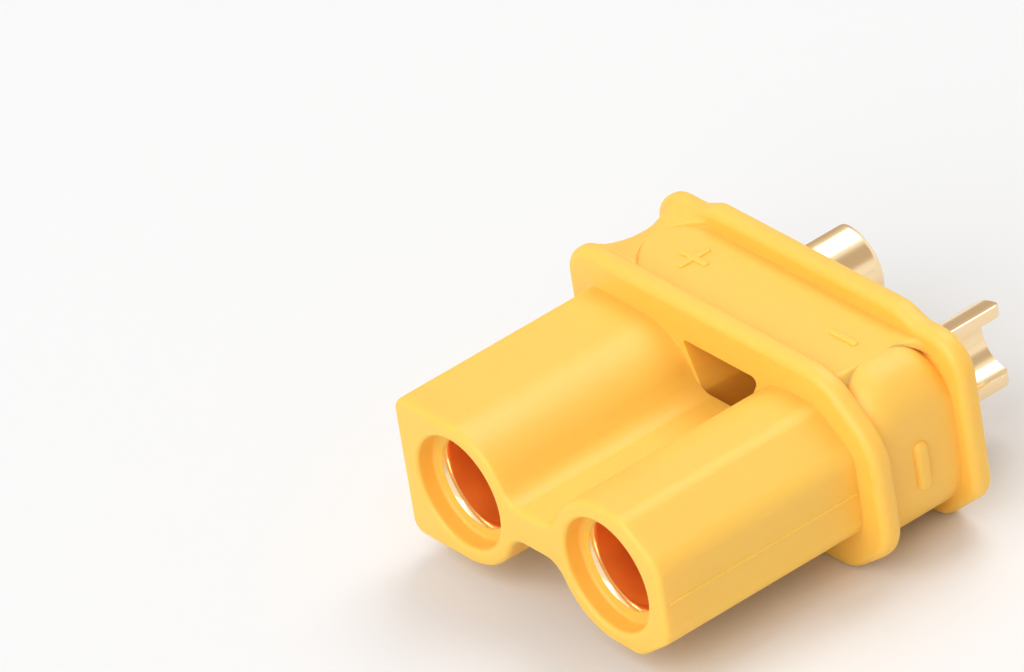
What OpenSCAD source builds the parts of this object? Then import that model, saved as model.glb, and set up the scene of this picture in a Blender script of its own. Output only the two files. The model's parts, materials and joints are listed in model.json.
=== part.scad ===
// Socket half of a two-pole battery lead connector: one moulded housing that
// holds two turned, plated socket contacts with open solder cups at the back.
// X runs across the two poles, Y from the mating face to the solder cups and
// Z up. The origin is the middle of the mating face, between the two sockets.

/* [Contacts] */
// Distance between the two contact axes
pitch = 5; // [4.9:0.05:5.1]
// Diameter of the pin that each socket takes
pin_d = 2; // [1.9:0.02:2.02]
// Running clearance of the pin in its socket, on the diameter
pin_clearance = 0.04; // [0.02:0.01:0.08]
// Outside diameter of the nose that shows in the face of the barrel
nose_d = 2.2; // [2.15:0.01:2.25]
// Outside diameter of the socket tube behind its nose
tube_d = 2.4; // [2.35:0.05:2.5]
// Distance from the mating face back to the contact mouth
mouth_depth = 0.5; // [0.3:0.05:0.8]
// Length of the nose, and thickness of the housing lip that stops the tube
nose_l = 0.4; // [0.3:0.05:0.6]
// Depth of the socket bore behind its mouth
socket_depth = 6; // [5:0.1:6.3]
// Overall length from the mating face to the ends of the solder cups
total_l = 11.5; // [11:0.1:13]
// Outside diameter of the solder cup
cup_d = 2.1; // [2:0.05:2.3]
// Diameter of the bore of the solder cup
cup_bore_d = 1.5; // [1.2:0.05:1.6]
// How far past the contact axis the wall of the open solder cup reaches
cup_lip = 0.1; // [0:0.02:0.3]
// Diameter of the collar that is pressed into the housing
collar_d = 2.8; // [2.7:0.05:2.9]
// Width of the collar
collar_w = 1; // [0.6:0.1:1.4]
// Chamfer on the tube mouth and on the end of the cup
contact_chamfer = 0.05; // [0.02:0.01:0.08]

/* [Barrels] */
// Width across the two barrels
barrel_w = 8.8; // [8.6:0.1:9.2]
// Height of the barrels
barrel_h = 3.56; // [3.4:0.02:3.7]
// Length of the barrels in front of the front flange
barrel_l = 5.6; // [5:0.1:5.8]
// Radius of the corners of the square-sided barrel
square_corner_r = 0.26; // [0.1:0.02:0.5]
// Radius that blends the slanted corners of the other barrel
slant_corner_r = 0.35; // [0.1:0.05:0.5]
// Width of the slanted corners, measured across the barrel
slant_w = 1.1; // [0.6:0.05:1.2]
// Height of the slanted corners
slant_h = 0.8; // [0.5:0.05:1]
// Thickness of the web between the barrels
web_t = 0.9; // [0.6:0.05:1.2]
// Diameter of the round recess in the face of each barrel
recess_d = 2.75; // [2.6:0.05:2.9]
// Clearance around the contact in the housing, on the diameter
channel_clearance = 0.05; // [0.02:0.01:0.1]

/* [Flanges] */
// Width across the flanges
flange_w = 10.2; // [10:0.1:10.6]
// Height of the front flange above the contact axes
front_top = 2.6; // [2.5:0.05:2.8]
// Depth of both flanges below the contact axes
flange_bottom = 2.4; // [2.3:0.05:2.5]
// Thickness of the front flange
front_t = 0.55; // [0.45:0.05:0.6]
// Distance from the mating face to the rear flange
rear_y = 8.2; // [8:0.05:8.4]
// Thickness of the rear flange
rear_t = 0.55; // [0.5:0.05:0.8]
// Height of the raised middle of the rear flange above the axes
rear_top = 2.85; // [2.75:0.05:2.95]
// Height of the lower shoulders of the rear flange above the axes
rear_shoulder = 2.6; // [2.5:0.05:2.7]
// Half width of the raised middle of the rear flange
rear_middle = 3.1; // [2.8:0.1:3.3]
// Width of the slope down from it to each shoulder
rear_slope = 0.6; // [0.4:0.05:0.7]
// Radius of the corners of the flanges
flange_corner_r = 0.8; // [0.4:0.05:0.9]
// Radius of the full upper corner of the rear flange
rear_corner_r = 0.95; // [0.8:0.05:1.2]
// Rounding of the rims of the flanges
rim_r = 0.18; // [0.05:0.01:0.22]

/* [Middle] */
// Width of the middle body between the flanges
mid_w = 9.45; // [9.2:0.05:9.6]
// Height of the middle body above the axes
mid_top = 2.2; // [2.1:0.05:2.25]
// Depth of the middle body below the axes
mid_bottom = 2.1; // [1.9:0.05:2.2]
// Radius of its corners on the square side
mid_square_r = 0.37; // [0.2:0.01:0.5]
// Radius of its upper corner on the round side
mid_upper_r = 1.4; // [1.2:0.1:1.6]
// Radius of its lower corner on the round side
mid_lower_r = 1.7; // [1.2:0.1:1.9]
// Height of the flat deck above the axes
deck_top = 2.35; // [2.3:0.05:2.5]
// End of the deck towards the square side
deck_left = 3.9; // [3.5:0.1:4.1]
// End of the deck towards the round side
deck_right = 3.6; // [3.3:0.1:3.7]
// Width of the upright rib on each side
rib_w = 0.3; // [0.2:0.02:0.4]
// Length of the rib up the side
rib_h = 1.2; // [1:0.1:1.6]
// How far the rib stands out
rib_out = 0.14; // [0.1:0.01:0.16]
// Distance from the mating face to the middle of the rib
rib_y = 7.15; // [6.8:0.05:7.4]

/* [Core pocket] */
// Half width of the pocket between the barrels, at its top and bottom
pocket_wide = 1.18; // [0.9:0.02:1.2]
// Half width of the pocket at the web
pocket_narrow = 0.7; // [0.4:0.05:0.75]
// Half height of the pocket
pocket_h = 1.64; // [1.5:0.02:1.7]
// Thickness of the wall left behind the pocket
pocket_floor = 0.9; // [0.6:0.1:1.5]

/* [Hidden] */
$fn = 48;
eps = 0.01;
amber = [0.98, 0.72, 0.25];
gold = [0.85, 0.7, 0.42];
pole_x = pitch / 2;
half_w = barrel_w / 2;
half_h = barrel_h / 2;
flange_x = flange_w / 2;
mid_x = mid_w / 2;
web_half = web_t / 2;
shoulder_y = mouth_depth + nose_l;
front_end = barrel_l + front_t;
rear_end = rear_y + rear_t;

// Extrude an outline drawn in X and Z from y0 back to y1.
module along_y(y0, y1) {
    translate([0, y1, 0])
        rotate([90, 0, 0])
            linear_extrude(y1 - y0)
                children();
}

// A straight cylinder along Y, from y0 to y1, on the axis of a contact.
module rod(side, d, y0, y1) {
    translate([side * pole_x, y1, 0])
        rotate([90, 0, 0])
            cylinder(d = d, h = y1 - y0);
}

// Outward normals of the edges of a polygon listed counter-clockwise.
function normals(pts) = [for (i = [0 : len(pts) - 1])
    let (d = pts[(i + 1) % len(pts)] - pts[i]) [d.y, -d.x] / norm(d)];

// Centres of the arcs that round the corners, one radius to a corner.
function arc_centres(pts, radii) = let (n = normals(pts), last = len(pts) - 1)
    [for (i = [0 : last]) let (a = n[i == 0 ? last : i - 1], b = n[i])
        pts[i] - radii[i] * (a + b) / (1 + a * b)];

// A convex polygon whose corners are true arcs.
module rounded(pts, radii) {
    n = normals(pts);
    c = arc_centres(pts, radii);
    last = len(pts) - 1;
    for (i = [0 : last])
        translate(c[i])
            circle(radii[i]);
    polygon([for (i = [0 : last])
        each [c[i] + radii[i] * n[i == 0 ? last : i - 1], c[i] + radii[i] * n[i]]]);
}

// One radius for every corner.
function same(pts, r) = [for (p = pts) r];

// Square-sided barrel on the left, slant-sided barrel on the right, one web.
module barrel_outline() {
    square_side = [[-half_w, -half_h], [-pole_x, -half_h], [-pole_x, half_h], [-half_w, half_h]];
    slant_side = [
        [pole_x, -half_h], [half_w - slant_w, -half_h], [half_w, slant_h - half_h],
        [half_w, half_h - slant_h], [half_w - slant_w, half_h], [pole_x, half_h]];
    for (side = [-1, 1])
        translate([side * pole_x, 0])
            circle(half_h);
    rounded(square_side, same(square_side, square_corner_r));
    rounded(slant_side, same(slant_side, slant_corner_r));
    translate([-pole_x, -web_half])
        square([pitch, web_t]);
}

// A plate with a rounded rim, its outline shrinking towards each face.
module plate(pts, radii, y, t) {
    c = arc_centres(pts, radii);
    hull()
        for (a = [0 : 30 : 90])
            along_y(y + rim_r * (1 - sin(a)), y + t - rim_r * (1 - sin(a)))
                for (i = [0 : len(pts) - 1])
                    translate(c[i])
                        circle(radii[i] - rim_r * (1 - cos(a)), $fn = 32);
}

// Square on the left and slanted on the right, like the barrels.
module front_flange() {
    upper_slant = [1.55, 1.35];
    lower_slant = [1.4, 1];
    outline = [
        [-flange_x, -flange_bottom], [flange_x - lower_slant.x, -flange_bottom],
        [flange_x, lower_slant.y - flange_bottom], [flange_x, front_top - upper_slant.y],
        [flange_x - upper_slant.x, front_top], [-flange_x, front_top]];
    plate(outline, same(outline, flange_corner_r), barrel_l, front_t);
}

// Slanted only at its lower right corner, with a raised middle along its top.
module rear_flange() {
    lower_slant = [1.35, 1.1];
    middle_r = 0.3;
    foot = rear_middle + rear_slope;
    outline = [
        [-flange_x, -flange_bottom], [flange_x - lower_slant.x, -flange_bottom],
        [flange_x, lower_slant.y - flange_bottom], [flange_x, rear_shoulder],
        [-flange_x, rear_shoulder]];
    r = flange_corner_r;
    plate(outline, [r, r, r, rear_corner_r, r], rear_y, rear_t);
    raised = [
        [-foot, 0], [foot, 0], [foot, rear_shoulder], [rear_middle, rear_top],
        [-rear_middle, rear_top], [-foot, rear_shoulder]];
    plate(raised, same(raised, middle_r), rear_y, rear_t);
}

// Body between the flanges: square on the left, round on the right.
module middle() {
    along_y(barrel_l + rim_r, rear_end - rim_r)
        rounded([[-mid_x, -mid_bottom], [mid_x, -mid_bottom], [mid_x, mid_top], [-mid_x, mid_top]],
            [mid_square_r, mid_lower_r, mid_upper_r, mid_square_r]);
    translate([-deck_left, barrel_l + rim_r, 0])
        cube([deck_left + deck_right, rear_y - barrel_l, deck_top]);
    for (side = [-1, 1])
        translate([side * (mid_x + rib_out - rib_w / 2), rib_y, -rib_h / 2])
            cylinder(d = rib_w, h = rib_h);
}

// Hollow that keeps the walls even. It opens in the front flange, above and
// below the web.
module core_pocket() {
    along_y(barrel_l, rear_end - pocket_floor)
        polygon([
            [-pocket_wide, pocket_h], [-pocket_narrow, web_half],
            [-pocket_narrow, -web_half], [-pocket_wide, -pocket_h],
            [pocket_wide, -pocket_h], [pocket_narrow, -web_half],
            [pocket_narrow, web_half], [pocket_wide, pocket_h]]);
}

// Recess, lip hole, tube channel and collar seat of one contact.
module contact_seat(side) {
    rod(side, recess_d, -1, mouth_depth);
    rod(side, nose_d + channel_clearance, 0, shoulder_y + eps);
    rod(side, tube_d + channel_clearance, shoulder_y, front_end + eps);
    rod(side, collar_d, front_end, rear_end + 1);
}

module housing() {
    color(amber)
        difference() {
            union() {
                along_y(0, barrel_l + rim_r)
                    barrel_outline();
                front_flange();
                middle();
                rear_flange();
            }
            core_pocket();
            for (side = [-1, 1])
                contact_seat(side);
        }
}

// Half profile of a contact: radius across, distance from the mating face up.
module contact_profile() {
    polygon([
        [0, mouth_depth],
        [nose_d / 2 - contact_chamfer, mouth_depth],
        [nose_d / 2, mouth_depth + contact_chamfer],
        [nose_d / 2, shoulder_y],
        [tube_d / 2, shoulder_y],
        [tube_d / 2, front_end],
        [collar_d / 2, front_end],
        [collar_d / 2, front_end + collar_w],
        [cup_d / 2, front_end + collar_w],
        [cup_d / 2, total_l - contact_chamfer],
        [cup_d / 2 - contact_chamfer, total_l],
        [0, total_l]]);
}

// Takes away the wall of the solder cup on the side away from the other pole.
module cup_opening(side) {
    reach = total_l - rear_end + 1;
    translate([side * (pole_x + cup_lip + cup_d / 2), rear_end + reach / 2, 0])
        cube([cup_d, reach, cup_d + 1], center = true);
}

// A turned contact: nose and tube round the socket bore, collar, solder cup.
module contact(side) {
    color(gold)
        difference() {
            translate([side * pole_x, 0, 0])
                rotate([-90, 0, 0])
                    rotate_extrude()
                        contact_profile();
            rod(side, pin_d + pin_clearance, 0, mouth_depth + socket_depth);
            rod(side, cup_bore_d, rear_end, total_l + 1);
            cup_opening(side);
        }
}

module contact_positive() {
    contact(-1);
}

module contact_negative() {
    contact(1);
}

housing();
contact_positive();
contact_negative();
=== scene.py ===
import json
import math

import bmesh
import bpy
from mathutils import Matrix, Vector


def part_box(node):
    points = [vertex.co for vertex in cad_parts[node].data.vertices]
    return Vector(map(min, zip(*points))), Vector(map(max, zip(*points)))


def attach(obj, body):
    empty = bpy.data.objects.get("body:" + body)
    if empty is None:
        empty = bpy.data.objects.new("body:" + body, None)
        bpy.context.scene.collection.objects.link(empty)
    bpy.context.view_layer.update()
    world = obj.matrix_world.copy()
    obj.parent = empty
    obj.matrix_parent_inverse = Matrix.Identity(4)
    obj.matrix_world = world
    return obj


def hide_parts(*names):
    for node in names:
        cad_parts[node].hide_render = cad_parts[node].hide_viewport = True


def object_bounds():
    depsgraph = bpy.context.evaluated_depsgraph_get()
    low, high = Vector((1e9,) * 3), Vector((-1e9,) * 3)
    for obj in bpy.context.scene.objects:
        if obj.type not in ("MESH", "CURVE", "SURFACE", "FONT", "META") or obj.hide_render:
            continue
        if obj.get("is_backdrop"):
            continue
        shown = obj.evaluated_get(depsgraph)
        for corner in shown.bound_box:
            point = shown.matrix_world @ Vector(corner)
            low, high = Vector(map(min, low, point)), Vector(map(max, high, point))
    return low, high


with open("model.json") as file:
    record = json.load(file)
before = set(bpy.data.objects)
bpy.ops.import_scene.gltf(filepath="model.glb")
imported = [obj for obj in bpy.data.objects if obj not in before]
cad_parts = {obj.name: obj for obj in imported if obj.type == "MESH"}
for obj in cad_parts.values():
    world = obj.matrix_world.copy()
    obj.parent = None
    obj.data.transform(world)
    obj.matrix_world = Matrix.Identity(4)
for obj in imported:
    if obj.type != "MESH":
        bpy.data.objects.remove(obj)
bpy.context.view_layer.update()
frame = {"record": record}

# HOUSING
# One injection moulding in amber nylon: two unlike barrels on a web, a front
# flange, the middle body with its flat deck, and the rear flange. The contacts
# are pressed into it from behind. Sizes are in millimetres.

MM = 0.001
scene = bpy.context.scene
housing_low, housing_high = (Vector(corner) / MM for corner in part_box("housing"))
mounts = {mount["name"]: mount for mount in frame["record"]["mounts"]}
pole_x = abs(mounts["socket_positive"]["pos_m"][0]) / MM
mouth_y = mounts["socket_positive"]["pos_m"][1] / MM
shoulder_y = mounts["mating_shoulder"]["pos_m"][1] / MM
flange_half = housing_high.x
flange_bottom = -housing_low.z
raised_top = housing_high.z
rear_end = housing_high.y
front_back = 6.15
rear_front = 8.2


def outline(corners, step=10):
    """Points and outward normals of a closed profile, clockwise from its top left.

    A corner is (x, z, radius). The arcs get one point for each step degrees."""
    loop = []
    count = len(corners)
    for i, (x, z, radius) in enumerate(corners):
        here = Vector((x, z))
        along = (here - Vector(corners[i - 1][:2])).normalized()
        onward = (Vector(corners[(i + 1) % count][:2]) - here).normalized()
        first = Vector((-along.y, along.x))
        last = Vector((-onward.y, onward.x))
        turn = first.angle_signed(last, 0.0)
        side = 1 if turn > 0 else -1
        centre = here - side * radius * (first + last) / (1 + first.dot(last))
        pieces = max(2, math.ceil(round(abs(math.degrees(turn)), 2) / step))
        for k in range(pieces + 1):
            angle = -turn * k / pieces
            normal = Matrix.Rotation(angle, 2) @ first
            loop.append((centre + side * radius * normal, normal))
    return loop


def edge_path(start, start_flare, end, end_flare, steps=4, between=1):
    """(y, growth) from start to end. A flare over 0 is a fillet that grows to
    meet a flange, and one under 0 is a rounded edge that draws in."""
    path = []
    for k in range(steps, -1, -1):
        t = math.radians(90 * k / steps)
        size = abs(start_flare)
        path.append((start + size - size * math.sin(t), start_flare * (1 - math.cos(t))))
    straight = end - abs(end_flare) - path[-1][0]
    for k in range(1, between):
        path.append((start + abs(start_flare) + straight * k / between, 0))
    for k in range(steps + 1):
        t = math.radians(90 * k / steps)
        size = abs(end_flare)
        path.append((end - size + size * math.sin(t), end_flare * (1 - math.cos(t))))
    return path


def skin(mesh, profile, path):
    """Walls along a path round a profile, which is one loop or a rule that
    gives the loop at each y; returns the first and last rings."""
    rings = []
    for y, growth in path:
        loop = profile(y) if callable(profile) else profile
        rings.append([mesh.verts.new((p.x + growth * n.x, y, p.y + growth * n.y)) for p, n in loop])
    for near, far in zip(rings, rings[1:]):
        for i in range(len(near)):
            mesh.faces.new((near[i - 1], near[i], far[i], far[i - 1]))
    return rings[0], rings[-1]


def face_between(mesh, *rings):
    """A flat face whose border is the first ring and whose holes are the others."""
    edges = []
    for ring in rings:
        for i in range(len(ring)):
            edges.append(mesh.edges.get((ring[i - 1], ring[i])))
    bmesh.ops.triangle_fill(mesh, use_beauty=True, edges=edges)


def finish_mesh(name, mesh):
    """The mesh as a smooth-shaded object, still in millimetres."""
    bmesh.ops.recalc_face_normals(mesh, faces=mesh.faces)
    data = bpy.data.meshes.new(name)
    mesh.to_mesh(data)
    mesh.free()
    data.polygons.foreach_set("use_smooth", [True] * len(data.polygons))
    piece = bpy.data.objects.new(name, data)
    scene.collection.objects.link(piece)
    return piece


def combine(piece, tool_mesh, operation):
    """Cut a solid out of a piece with DIFFERENCE, or fuse it on with UNION."""
    tool = finish_mesh("tool", tool_mesh)
    work = piece.modifiers.new("work", "BOOLEAN")
    work.operation = operation
    work.solver = "EXACT"
    work.object = tool
    bpy.context.view_layer.update()
    worked = piece.evaluated_get(bpy.context.evaluated_depsgraph_get())
    piece_data = bpy.data.meshes.new_from_object(worked)
    piece.modifiers.clear()
    piece.data = piece_data
    bpy.data.objects.remove(tool)


def block(profile, path, turned=None):
    """A closed solid of one profile along a path, turned out of the Y direction."""
    mesh = bmesh.new()
    front, back = skin(mesh, profile, path)
    face_between(mesh, front)
    face_between(mesh, back)
    if turned:
        bmesh.ops.transform(mesh, matrix=turned, verts=mesh.verts)
    return mesh


# the barrels: a square-sided one at -X, a slant-sided one at +X, each with a
# half-round inner side that runs into the web through a fillet
barrel_half_w = 4.4
barrel_half_h = 1.78
web_half = 0.45
web_fillet = 0.6
square_r = 0.36
slant_r = 0.6
slant_w = 1.1
slant_h = 0.8
lean = math.asin((web_half + web_fillet) / (barrel_half_h + web_fillet))
arc_top_x = pole_x - barrel_half_h * (1 - math.sin(lean)) / math.cos(lean)
arc_web_x = pole_x - (barrel_half_h - web_half * math.sin(lean)) / math.cos(lean)
barrels = outline([
    (-barrel_half_w, barrel_half_h, square_r),
    (-arc_top_x, barrel_half_h, barrel_half_h),
    (-arc_web_x, web_half, web_fillet),
    (arc_web_x, web_half, web_fillet),
    (arc_top_x, barrel_half_h, barrel_half_h),
    (barrel_half_w - slant_w, barrel_half_h, slant_r),
    (barrel_half_w, barrel_half_h - slant_h, slant_r),
    (barrel_half_w, slant_h - barrel_half_h, slant_r),
    (barrel_half_w - slant_w, -barrel_half_h, slant_r),
    (arc_top_x, -barrel_half_h, barrel_half_h),
    (arc_web_x, -web_half, web_fillet),
    (-arc_web_x, -web_half, web_fillet),
    (-arc_top_x, -barrel_half_h, barrel_half_h),
    (-barrel_half_w, -barrel_half_h, square_r),
], step=6)

# the front flange follows the barrels, with a long slant over the +X one
flange_r = 0.8
front_top = 2.6
front_slant_w = 1.55
front_slant_h = 1.35
front_slant_r = 1.5
front_low_w = 1.4
front_low_h = 1.0
front_low_r = 1.1
front_flange = outline([
    (-flange_half, front_top, flange_r),
    (flange_half - front_slant_w, front_top, front_slant_r),
    (flange_half, front_top - front_slant_h, front_slant_r),
    (flange_half, front_low_h - flange_bottom, front_low_r),
    (flange_half - front_low_w, -flange_bottom, front_low_r),
    (-flange_half, -flange_bottom, flange_r),
], step=6)

# the rear flange has a raised middle between two shoulders
shoulder_top = 2.6
shoulder_r = 0.95
step_top = 3.1
step_foot = 3.7
step_r = 0.5
rear_low_w = 1.35
rear_low_h = 1.1
rear_flange = outline([
    (-flange_half, shoulder_top, flange_r),
    (-step_foot, shoulder_top, step_r),
    (-step_top, raised_top, step_r),
    (step_top, raised_top, step_r),
    (step_foot, shoulder_top, step_r),
    (flange_half, shoulder_top, shoulder_r),
    (flange_half, rear_low_h - flange_bottom, flange_r),
    (flange_half - rear_low_w, -flange_bottom, flange_r),
    (-flange_half, -flange_bottom, flange_r),
], step=6)

# the middle body: the deck lies flat, the left end is a saddle that climbs
# past it to both flanges, and the right end is a crown that drops to them
middle_half = 4.725
middle_bottom = 2.1
middle_corner_r = 0.37
middle_slant_r = 1.7
deck_top = 2.35
least_step = 0.004
step_over_arc = 2.1
saddle_y = 7.4
saddle_dip = 0.02
saddle_rise = 0.19
saddle_r = 0.7
saddle_tighter = 0.2
deck_left_x = -4.0
deck_left_grow = 0.8
deck_left_r = 0.1
crown_y = 7.3
crown_drop = 0.3
crown_r = 1.15
deck_right_x = 3.55
deck_right_grow = 0.35
deck_right_r = 0.2
deck_right_share = 0.75
deck_right_slope = 0.4


def nearness(y, middle_y):
    """0 at middle_y, growing as a parabola to 1 at either flange."""
    if y < middle_y:
        return min(1, ((middle_y - y) / (middle_y - front_back)) ** 2)
    return min(1, ((y - middle_y) / (rear_front - middle_y)) ** 2)


def middle_body(y):
    """The section of the body at y. No step on it is ever quite 0, so that
    each section has the same points."""
    saddle_near = nearness(y, saddle_y)
    crown_near = nearness(y, crown_y)
    saddle = deck_top - saddle_dip + saddle_rise * saddle_near
    if abs(saddle - deck_top) < least_step:
        saddle = deck_top - least_step
    crown = deck_top - least_step - crown_drop * crown_near ** 2
    drop = deck_top - crown
    deck_left = deck_left_x + deck_left_grow * saddle_near
    deck_right = deck_right_x + deck_right_grow * (crown_near if y > crown_y else 0)
    left_r = min(deck_left_r, abs(saddle - deck_top) / step_over_arc)
    right_r = min(deck_right_r, deck_right_share * drop)
    return outline([
        (-middle_half, saddle, saddle_r - saddle_tighter * saddle_near),
        (deck_left, saddle, left_r),
        (deck_left, deck_top, left_r),
        (deck_right, deck_top, right_r),
        (deck_right + deck_right_slope * drop, crown, right_r),
        (middle_half, crown, crown_r),
        (middle_half, -middle_bottom, middle_slant_r),
        (-middle_half, -middle_bottom, middle_corner_r),
    ], step=6)


# barrels and front flange as one closed skin, then the body and the rear flange
rim_r = 0.22
edge_r = 0.14
root_fillet = 0.015
body_fillet = 0.02
bite = 0.2
barrel_path = edge_path(0, -edge_r, shoulder_y, root_fillet)
front_path = edge_path(shoulder_y, -rim_r, front_back, -rim_r, steps=6)
rear_path = edge_path(rear_front, -rim_r, rear_end, -rim_r, steps=6)
mesh = bmesh.new()
barrel_front, barrel_back = skin(mesh, barrels, barrel_path)
flange_front, flange_back = skin(mesh, front_flange, front_path)
face_between(mesh, barrel_front)
face_between(mesh, flange_front, barrel_back)
face_between(mesh, flange_back)
housing = finish_mesh("housing_shell", mesh)
body_path = edge_path(front_back, body_fillet, rear_front, body_fillet, between=24)
body_path.insert(0, (front_back - bite, body_fillet))
body_path.append((rear_front + bite, body_fillet))
combine(housing, block(middle_body, body_path), "UNION")
combine(housing, block(rear_flange, rear_path), "UNION")

# the recess, lip and contact channel of each pole, cut in one go
recess_r = 1.375
recess_edge_r = 0.11
recess_floor_r = 0.1
lip_r = 1.105
lip_back = 0.9
seat_r = 1.4
past_part = 0.5


def hoop(radius, x, count=72):
    """A round hole's loop: its normals point into the hole."""
    loop = []
    for k in range(count):
        out = Vector((math.cos(math.tau * k / count), math.sin(math.tau * k / count)))
        loop.append((Vector((x, 0)) + radius * out, -out))
    return loop


passage = [(-past_part, -recess_edge_r)]
passage += edge_path(0, -recess_edge_r, mouth_y, recess_floor_r, steps=6)
passage += [(mouth_y, recess_r - lip_r), (lip_back, recess_r - lip_r)]
passage += [(lip_back, recess_r - seat_r), (rear_end + past_part, recess_r - seat_r)]
for x in (-pole_x, pole_x):
    combine(housing, block(hoop(recess_r, x), passage), "DIFFERENCE")

# the core pocket, narrow at the web and open in the front flange above and
# below it
pocket_left = 1.18
pocket_left_r = 0.08
pocket_right = 1.4
pocket_right_r = 0.15
pocket_narrow = 0.7
pocket_narrow_r = 0.3
pocket_top = 1.64
pocket_end = 7.85
pocket_front = shoulder_y + 0.01
opening_front = shoulder_y - 0.005
opening_back = shoulder_y + 0.1
opening_foot = web_half + 0.002
opening_foot_r = 0.02
pocket = outline([
    (-pocket_left, pocket_top, pocket_left_r),
    (pocket_right, pocket_top, pocket_right_r),
    (pocket_narrow, web_half, pocket_narrow_r),
    (pocket_narrow, -web_half, pocket_narrow_r),
    (pocket_right, -pocket_top, pocket_right_r),
    (-pocket_left, -pocket_top, pocket_left_r),
    (-pocket_narrow, -web_half, pocket_narrow_r),
    (-pocket_narrow, web_half, pocket_narrow_r),
])
combine(housing, block(pocket, [(pocket_front, 0), (pocket_end, 0)]), "DIFFERENCE")
upper_opening = [
    (-pocket_left, pocket_top, pocket_left_r),
    (pocket_right, pocket_top, pocket_right_r),
    (pocket_narrow, opening_foot, opening_foot_r),
    (-pocket_narrow, opening_foot, opening_foot_r),
]
lower_opening = [(x, -z, r) for x, z, r in reversed(upper_opening)]
for corners in (upper_opening, lower_opening):
    opening = block(outline(corners), [(opening_front, 0), (opening_back, 0)])
    combine(housing, opening, "DIFFERENCE")

# the upright rib on each side of the body, and the parting line of the barrels
rib_w = 0.42
rib_h = 1.24
rib_out = 0.13
rib_root = 0.2
rib_round = 0.17
rib_y = 7.15
line_w = 0.09
line_out = 0.034
line_z = -0.03
line_front = edge_r + 0.1
line_back = shoulder_y - 0.05
bar_over_arc = 2.02


def bar(wide, tall):
    """The loop of a flat bar. Its ends are round but for a hair of flat that
    keeps their two arcs apart."""
    round_r = min(wide, tall) / bar_over_arc
    half_w = wide / 2
    half_h = tall / 2
    return outline([
        (-half_w, half_h, round_r),
        (half_w, half_h, round_r),
        (half_w, -half_h, round_r),
        (-half_w, -half_h, round_r),
    ], step=15)


for side in (-1, 1):
    outward = Matrix.Rotation(math.radians(-90 * side), 4, "Z")
    rib_at = Matrix.Translation((side * (middle_half - rib_root), rib_y, 0))
    rib_path = edge_path(0, 0, rib_root + rib_out, -rib_round, steps=6)
    combine(housing, block(bar(rib_w, rib_h), rib_path, rib_at @ outward), "UNION")
    line_at = Matrix.Translation((side * (barrel_half_w + line_out - line_w / 2), 0, line_z))
    line_path = [(line_front, 0), (line_back, 0)]
    combine(housing, block(bar(line_w, line_w), line_path, line_at), "UNION")

# polarity signs, raised on the deck: plus over the square-sided barrel
sign_l = 0.9
sign_w = 0.17
sign_up = 0.05
sign_root = 0.1
sign_round = 0.03
sign_y = 7.2
sign_path = edge_path(0, 0, sign_root + sign_up, -sign_round)
sign_bars = ((-pole_x, sign_l, sign_w), (-pole_x, sign_w, sign_l), (pole_x, sign_l, sign_w))
for x, wide, tall in sign_bars:
    sign_at = Matrix.Translation((x, sign_y, deck_top - sign_root))
    upward = sign_at @ Matrix.Rotation(math.radians(90), 4, "X")
    combine(housing, block(bar(wide, tall), sign_path, upward), "UNION")

sharp_angle = math.radians(40)
housing.data.transform(Matrix.Scale(MM, 4))
weigh = housing.modifiers.new("flat_faces", "WEIGHTED_NORMAL")
weigh.weight = 100
weigh.keep_sharp = True
housing.data.set_sharp_from_angle(angle=sharp_angle)


def add_node(tree, kind, at, **values):
    """A node of that kind; values set its properties, or its inputs by name."""
    node = tree.nodes.new(kind)
    node.location = at
    for key, value in values.items():
        if hasattr(node, key):
            setattr(node, key, value)
        else:
            node.inputs[key.replace("_", " ")].default_value = value
    return node


def new_group(name, inputs, outputs):
    """A shader node group with named inputs and outputs; returns the tree."""
    tree = bpy.data.node_groups.new(name, "ShaderNodeTree")
    for label, kind, value in inputs:
        socket = tree.interface.new_socket(label, in_out="INPUT", socket_type=kind)
        socket.default_value = value
    for label, kind in outputs:
        tree.interface.new_socket(label, in_out="OUTPUT", socket_type=kind)
    return tree


def make_surface_grain():
    """Two sizes of noise on the object: a height for bump, and a 0 to 1 mask.

    On the nylon it is the spark-eroded mould's texture, on the plating the
    marks of polishing."""
    tree = new_group(
        "surface_grain",
        [("Fine Scale", "NodeSocketFloat", 9000.0), ("Broad Scale", "NodeSocketFloat", 700.0),
         ("Fine Share", "NodeSocketFloat", 0.5)],
        [("Height", "NodeSocketFloat"), ("Mask", "NodeSocketFloat")],
    )
    given = add_node(tree, "NodeGroupInput", (-700, 0))
    made = add_node(tree, "NodeGroupOutput", (400, 0))
    place = add_node(tree, "ShaderNodeTexCoord", (-700, -250))
    fine = add_node(tree, "ShaderNodeTexNoise", (-400, 150), Detail=3.0, Roughness=0.6)
    broad = add_node(tree, "ShaderNodeTexNoise", (-400, -150), Detail=2.0, Roughness=0.5)
    mix = add_node(tree, "ShaderNodeMix", (0, 100), data_type="FLOAT")
    for texture, scale in ((fine, "Fine Scale"), (broad, "Broad Scale")):
        tree.links.new(place.outputs["Object"], texture.inputs["Vector"])
        tree.links.new(given.outputs[scale], texture.inputs["Scale"])
    tree.links.new(given.outputs["Fine Share"], mix.inputs["Factor"])
    tree.links.new(broad.outputs["Fac"], mix.inputs["A"])
    tree.links.new(fine.outputs["Fac"], mix.inputs["B"])
    tree.links.new(mix.outputs["Result"], made.inputs["Height"])
    tree.links.new(broad.outputs["Fac"], made.inputs["Mask"])
    return tree


surface_grain = make_surface_grain()


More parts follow.
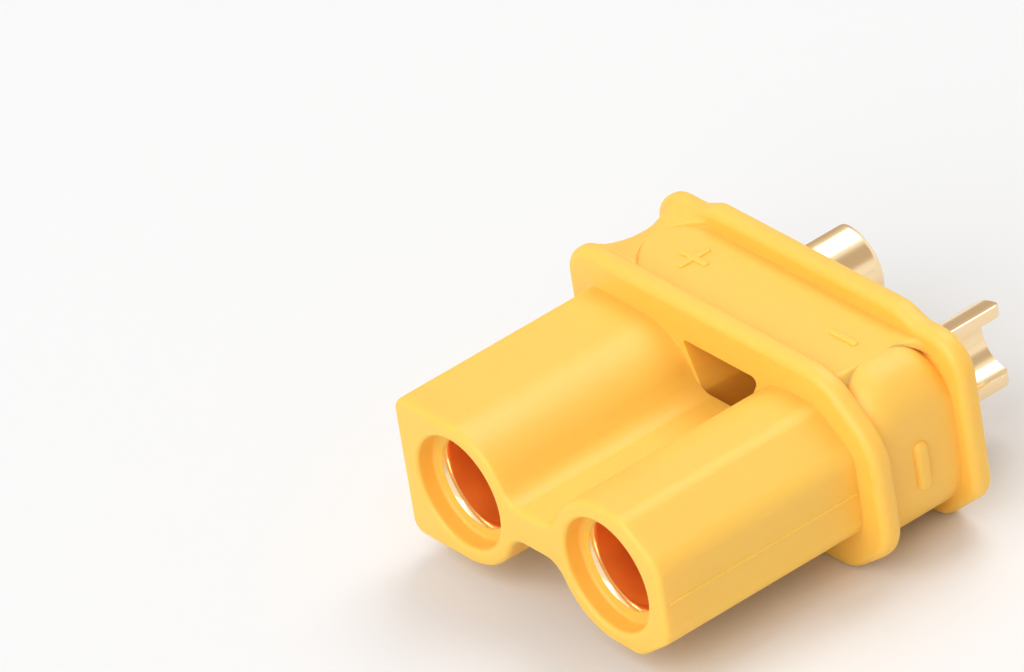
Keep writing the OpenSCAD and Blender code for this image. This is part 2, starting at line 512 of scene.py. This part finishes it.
def add_grain(tree, fine_scale, broad_scale, fine_share):
    """The surface grain in a material, with that material's own scales."""
    node = tree.nodes.new("ShaderNodeGroup")
    node.node_tree = surface_grain
    node.location = (-700, 0)
    node.inputs["Fine Scale"].default_value = fine_scale
    node.inputs["Broad Scale"].default_value = broad_scale
    node.inputs["Fine Share"].default_value = fine_share
    return node


def vary_by_grain(tree, shader, grain, tones, dulls, dulled_by="Mask"):
    """The shader's colour runs between two tones, its roughness between two."""
    tone = add_node(tree, "ShaderNodeMix", (-350, 250), data_type="RGBA")
    tone.inputs["A"].default_value = tones[0]
    tone.inputs["B"].default_value = tones[1]
    dull = add_node(tree, "ShaderNodeMapRange", (-350, 0))
    dull.inputs["To Min"].default_value = dulls[0]
    dull.inputs["To Max"].default_value = dulls[1]
    tree.links.new(grain.outputs["Mask"], tone.inputs["Factor"])
    tree.links.new(grain.outputs[dulled_by], dull.inputs["Value"])
    tree.links.new(tone.outputs["Result"], shader.inputs["Base Color"])
    tree.links.new(dull.outputs["Result"], shader.inputs["Roughness"])


def bump_by_grain(tree, shader, grain, strength, distance):
    """The grain's height as a bump; distance is in metres."""
    bump = add_node(tree, "ShaderNodeBump", (-350, -250), Strength=strength, Distance=distance)
    tree.links.new(grain.outputs["Height"], bump.inputs["Height"])
    tree.links.new(bump.outputs["Normal"], shader.inputs["Normal"])


def new_material(name):
    """A node material; returns it with its tree and its Principled shader."""
    material = bpy.data.materials.new(name)
    material.use_nodes = True
    tree = material.node_tree
    return material, tree, tree.nodes["Principled BSDF"]


amber_tones = ((1.0, 0.54, 0.068, 1), (1.0, 0.58, 0.083, 1))


def make_amber_nylon():
    """Satin nylon that lets red light a little way in and blue hardly at all."""
    material, tree, shader = new_material("amber_nylon")
    shader.inputs["IOR"].default_value = 1.53
    shader.inputs["Specular IOR Level"].default_value = 0.65
    shader.inputs["Subsurface Weight"].default_value = 0.5
    shader.inputs["Subsurface Radius"].default_value = (1.0, 0.5, 0.15)
    shader.inputs["Subsurface Scale"].default_value = 0.7 * MM
    grain = add_grain(tree, fine_scale=14000.0, broad_scale=260.0, fine_share=0.7)
    vary_by_grain(tree, shader, grain, tones=amber_tones, dulls=(0.42, 0.56))
    bump_by_grain(tree, shader, grain, strength=0.12, distance=0.02 * MM)
    return material


amber_nylon = make_amber_nylon()
housing.data.materials.clear()
housing.data.materials.append(amber_nylon)
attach(housing, "root")
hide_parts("housing")

# CONTACTS
# Two turned brass contacts, plated with gold, pressed into the housing from
# behind. Each has a socket tube in front and an open solder cup at the back.

tube_bore = mounts["socket_positive"]["dims"]["r_mm"]
bore_end = mouth_y + mounts["socket_positive"]["dims"]["length_mm"]
mouth_flare = 0.075
flare_depth = 0.17
nose_r = 1.1
tube_r = 1.2
collar_r = 1.4
collar_w = 1
cup_r = 1.05
cup_bore = mounts["cup_positive"]["dims"]["r_mm"]
cup_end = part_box("contact_positive")[1][1] / MM
cup_round_l = 0.16
cup_round_w = 0.12
cup_edge = 0.03
cup_lip = 0.1
lip_end_r = 0.25
lip_clear = 0.002
sharp_r = 0.01
broken_edge = 0.03
same_point = 0.00001
skin_deep = 0.01


def rounded_step(r0, y0, r1, y1, steps=4):
    """A quarter ellipse of a turned profile, leaving along Y, arriving across."""
    points = []
    for k in range(steps + 1):
        t = math.radians(90 * k / steps)
        points.append((r0 + (r1 - r0) * (1 - math.cos(t)), y0 + (y1 - y0) * math.sin(t)))
    return points


def turned_profile():
    """(radius, y) from the bottom of the bore out, back and into the cup."""
    collar_back = front_back + collar_w
    profile = [(0, bore_end), (tube_bore, bore_end)]
    profile += [(tube_bore, mouth_y + flare_depth), (tube_bore + mouth_flare, mouth_y)]
    profile += [(nose_r, mouth_y + nose_r - tube_bore - mouth_flare), (nose_r, lip_back)]
    profile += [(tube_r, lip_back), (tube_r, front_back), (collar_r, front_back)]
    profile += [(collar_r, collar_back), (cup_r, collar_back)]
    profile += rounded_step(cup_r, cup_end - cup_round_l, cup_r - cup_round_w, cup_end, steps=6)
    profile += reversed(rounded_step(cup_bore, cup_end - cup_edge, cup_bore + cup_edge, cup_end))
    profile += [(cup_bore, rear_end), (0, rear_end)]
    return profile


def turn(name, x, count=96):
    """The profile spun round the axis of a pole, as one closed solid."""
    mesh = bmesh.new()
    angles = [math.tau * k / count for k in range(count)]
    rings = []
    for radius, y in turned_profile():
        rings.append([mesh.verts.new((x + radius * math.cos(a), y, radius * math.sin(a))) for a in angles])
    for near, far in zip(rings, rings[1:]):
        for i in range(count):
            mesh.faces.new((near[i - 1], near[i], far[i], far[i - 1]))
    bmesh.ops.remove_doubles(mesh, verts=mesh.verts, dist=same_point)
    return finish_mesh(name, mesh)


cutter_out = 2
cutter_in = 1.5
cutter_past = 1
cutter_half = 1.5


def cup_opening(side):
    """A cutter that opens the cup outward and rounds the ends of its two lips."""
    lip_x = pole_x + cup_lip
    out_x = lip_x + cutter_out
    in_x = lip_x - cutter_in
    past_end = cup_end + lip_clear
    past_all = cup_end + cutter_past
    plan = [
        (lip_x, -rear_end, sharp_r),
        (out_x, -rear_end, sharp_r),
        (out_x, -past_all, sharp_r),
        (in_x, -past_all, sharp_r),
        (in_x, -past_end, sharp_r),
        (lip_x, -past_end, lip_end_r),
    ]
    if side < 0:
        plan = [(-x, y, r) for x, y, r in reversed(plan)]
    upward = Matrix.Rotation(math.radians(90), 4, "X")
    return block(outline(plan), [(-cutter_half, 0), (cutter_half, 0)], upward)


gold_tones = ((0.94, 0.7, 0.4, 1), (0.97, 0.76, 0.47, 1))
# painted reflection deep in the bore: a dark and a bright red gold in place of light gone from wall to
# wall
bore_reflection_painted_tones = ((0.66, 0.13, 0.02, 1), (0.98, 0.31, 0.038, 1))


def make_gold_plating():
    """Bright plating with faint polishing marks."""
    material, tree, shader = new_material("gold_plating")
    shader.inputs["Metallic"].default_value = 1.0
    grain = add_grain(tree, fine_scale=9000.0, broad_scale=900.0, fine_share=0.3)
    vary_by_grain(tree, shader, grain, tones=gold_tones, dulls=(0.1, 0.2))
    bump_by_grain(tree, shader, grain, strength=0.05, distance=0.01 * MM)
    return material


def make_bore_painted_reflection():
    """Plating deep in the bore, its colour a painted reflection: the red gold
    that light takes on going from wall to wall over many reflections."""
    material, tree, shader = new_material("bore_gold")
    shader.inputs["Metallic"].default_value = 0.55
    grain = add_grain(tree, fine_scale=5000.0, broad_scale=700.0, fine_share=0.3)
    vary_by_grain(tree, shader, grain, tones=bore_reflection_painted_tones, dulls=(0.3, 0.45), dulled_by="Height")
    return material


gold_plating = make_gold_plating()
bore_gold = make_bore_painted_reflection()
for name, side in (("contact_positive", -1), ("contact_negative", 1)):
    contact = turn(name.replace("contact", "turned_contact"), side * pole_x)
    combine(contact, cup_opening(side), "DIFFERENCE")
    contact.data.materials.clear()
    contact.data.materials.append(gold_plating)
    contact.data.materials.append(bore_gold)
    # faces deep in the bore get the material with the painted reflection
    for face in contact.data.polygons:
        spread = math.hypot(face.center.x - side * pole_x, face.center.z)
        deep = mouth_y + flare_depth < face.center.y < bore_end + skin_deep
        face.material_index = 1 if deep and spread < tube_bore + skin_deep else 0
    contact.data.transform(Matrix.Scale(MM, 4))
    soften = contact.modifiers.new("broken_edges", "BEVEL")
    soften.width = broken_edge * MM
    soften.segments = 3
    soften.angle_limit = sharp_angle
    contact.data.set_sharp_from_angle(angle=sharp_angle)
    weigh = contact.modifiers.new("flat_faces", "WEIGHTED_NORMAL")
    weigh.weight = 100
    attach(contact, "root")
    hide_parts(name)

# TABLE, LIGHT AND CAMERA
# The part lies on its flanges on a pale table under two soft lamps and an
# even sky.

table_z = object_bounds()[0][2]
table_reach = 1.5
table_grey = (0.81, 0.81, 0.81, 1)
corners = [(-table_reach, -table_reach), (table_reach, -table_reach), (table_reach, table_reach),
           (-table_reach, table_reach)]
table_mesh = bpy.data.meshes.new("table")
table_mesh.from_pydata([(x, y, table_z) for x, y in corners], [], [(0, 1, 2, 3)])
table = bpy.data.objects.new("table", table_mesh)
scene.collection.objects.link(table)
white, tree, shader = new_material("table_white")
shader.inputs["Base Color"].default_value = table_grey
shader.inputs["Roughness"].default_value = 0.7
table_mesh.materials.append(white)
table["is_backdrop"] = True

# the sky lights the part evenly, shows white behind it, and has its own
# picture for what mirrors it
scene.view_settings.view_transform = "Standard"
world = bpy.data.worlds.new("studio")
scene.world = world
world.use_nodes = True
tree = world.node_tree
soft_sky = tree.nodes["Background"]
soft_sky.inputs["Strength"].default_value = 0.54
soft_sky.inputs["Color"].default_value = (1, 1, 1, 1)
seen_sky = add_node(tree, "ShaderNodeBackground", (0, -200), Strength=1.0)
mirrored_sky = add_node(tree, "ShaderNodeBackground", (0, -400), Strength=1.0)
rays = add_node(tree, "ShaderNodeLightPath", (-600, 300))
view_or_not = add_node(tree, "ShaderNodeMixShader", (300, 0))
mirror_or_not = add_node(tree, "ShaderNodeMixShader", (500, 0))
tree.links.new(rays.outputs["Is Camera Ray"], view_or_not.inputs["Fac"])
tree.links.new(soft_sky.outputs["Background"], view_or_not.inputs[1])
tree.links.new(seen_sky.outputs["Background"], view_or_not.inputs[2])
tree.links.new(rays.outputs["Is Glossy Ray"], mirror_or_not.inputs["Fac"])
tree.links.new(view_or_not.outputs["Shader"], mirror_or_not.inputs[1])
tree.links.new(mirrored_sky.outputs["Background"], mirror_or_not.inputs[2])
tree.links.new(mirror_or_not.outputs["Shader"], tree.nodes["World Output"].inputs["Surface"])

# what bright metal mirrors: white walls with a warm grey gap at each side. A
# gap is its direction, and how many degrees out it starts and stops to fade
side_gaps = (((0.6, 0.48, 0.64), 14, 25), ((-0.87, 0.48, 0.08), 20, 44))
facing = add_node(tree, "ShaderNodeTexCoord", (-1200, -400))
mirrored = add_node(tree, "ShaderNodeMix", (-400, -400), data_type="RGBA")
mirrored.inputs["A"].default_value = (1, 1, 1, 1)
mirrored.inputs["B"].default_value = (0.6, 0.51, 0.42, 1)
gaps = add_node(tree, "ShaderNodeMath", (-600, -400), operation="MAXIMUM")
for i, (way, inner, outer) in enumerate(side_gaps):
    near = add_node(tree, "ShaderNodeVectorMath", (-1000, -400 - 200 * i), operation="DOT_PRODUCT")
    near.inputs[1].default_value = Vector(way).normalized()
    fade = add_node(tree, "ShaderNodeMapRange", (-800, -400 - 200 * i), interpolation_type="SMOOTHSTEP")
    fade.inputs["From Min"].default_value = math.cos(math.radians(outer))
    fade.inputs["From Max"].default_value = math.cos(math.radians(inner))
    tree.links.new(facing.outputs["Generated"], near.inputs[0])
    tree.links.new(near.outputs["Value"], fade.inputs["Value"])
    tree.links.new(fade.outputs["Result"], gaps.inputs[i])
tree.links.new(gaps.outputs["Value"], mirrored.inputs["Factor"])
tree.links.new(mirrored.outputs["Result"], mirrored_sky.inputs["Color"])

middle = sum((Vector(c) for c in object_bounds()), Vector()) / 2


def direction(azimuth, elevation):
    """Away from the part. Azimuth 0 is in front of it, 90 degrees at its right."""
    a = math.radians(azimuth)
    e = math.radians(elevation)
    return Vector((math.sin(a) * math.cos(e), -math.cos(a) * math.cos(e), math.sin(e)))


def softbox(name, azimuth, elevation, distance, size, watts):
    """A square lamp aimed at the part."""
    way = direction(azimuth, elevation)
    data = bpy.data.lights.new(name, "AREA")
    data.size = size
    data.energy = watts
    lamp = bpy.data.objects.new(name, data)
    lamp.location = middle + way * distance
    lamp.rotation_euler = way.to_track_quat("Z", "Y").to_euler()
    scene.collection.objects.link(lamp)


softbox("key_softbox", azimuth=14, elevation=38, distance=0.5, size=0.5, watts=1.82)
softbox("top_softbox", azimuth=-160, elevation=59, distance=0.5, size=0.3, watts=0.93)

camera_azimuth = 55.307
camera_elevation = 32.809
camera_roll = math.radians(-9.442)
camera_distance = 0.31306
camera_right = -0.000408
camera_up = 0.004285
lens_over_width = 14.195215
back = direction(camera_azimuth, camera_elevation)
level = Vector((math.cos(math.radians(camera_azimuth)), math.sin(math.radians(camera_azimuth)), 0))
upright = back.cross(level)
right = math.cos(camera_roll) * level + math.sin(camera_roll) * upright
up = math.cos(camera_roll) * upright - math.sin(camera_roll) * level
camera_data = bpy.data.cameras.new("camera")
camera_data.lens = lens_over_width * camera_data.sensor_width
camera_data.clip_start = 0.01
camera = bpy.data.objects.new("camera", camera_data)
turned = Matrix((right, up, back)).transposed().to_4x4()
place = back * camera_distance + right * camera_right + up * camera_up
camera.matrix_world = Matrix.Translation(place) @ turned
scene.collection.objects.link(camera)
scene.camera = camera
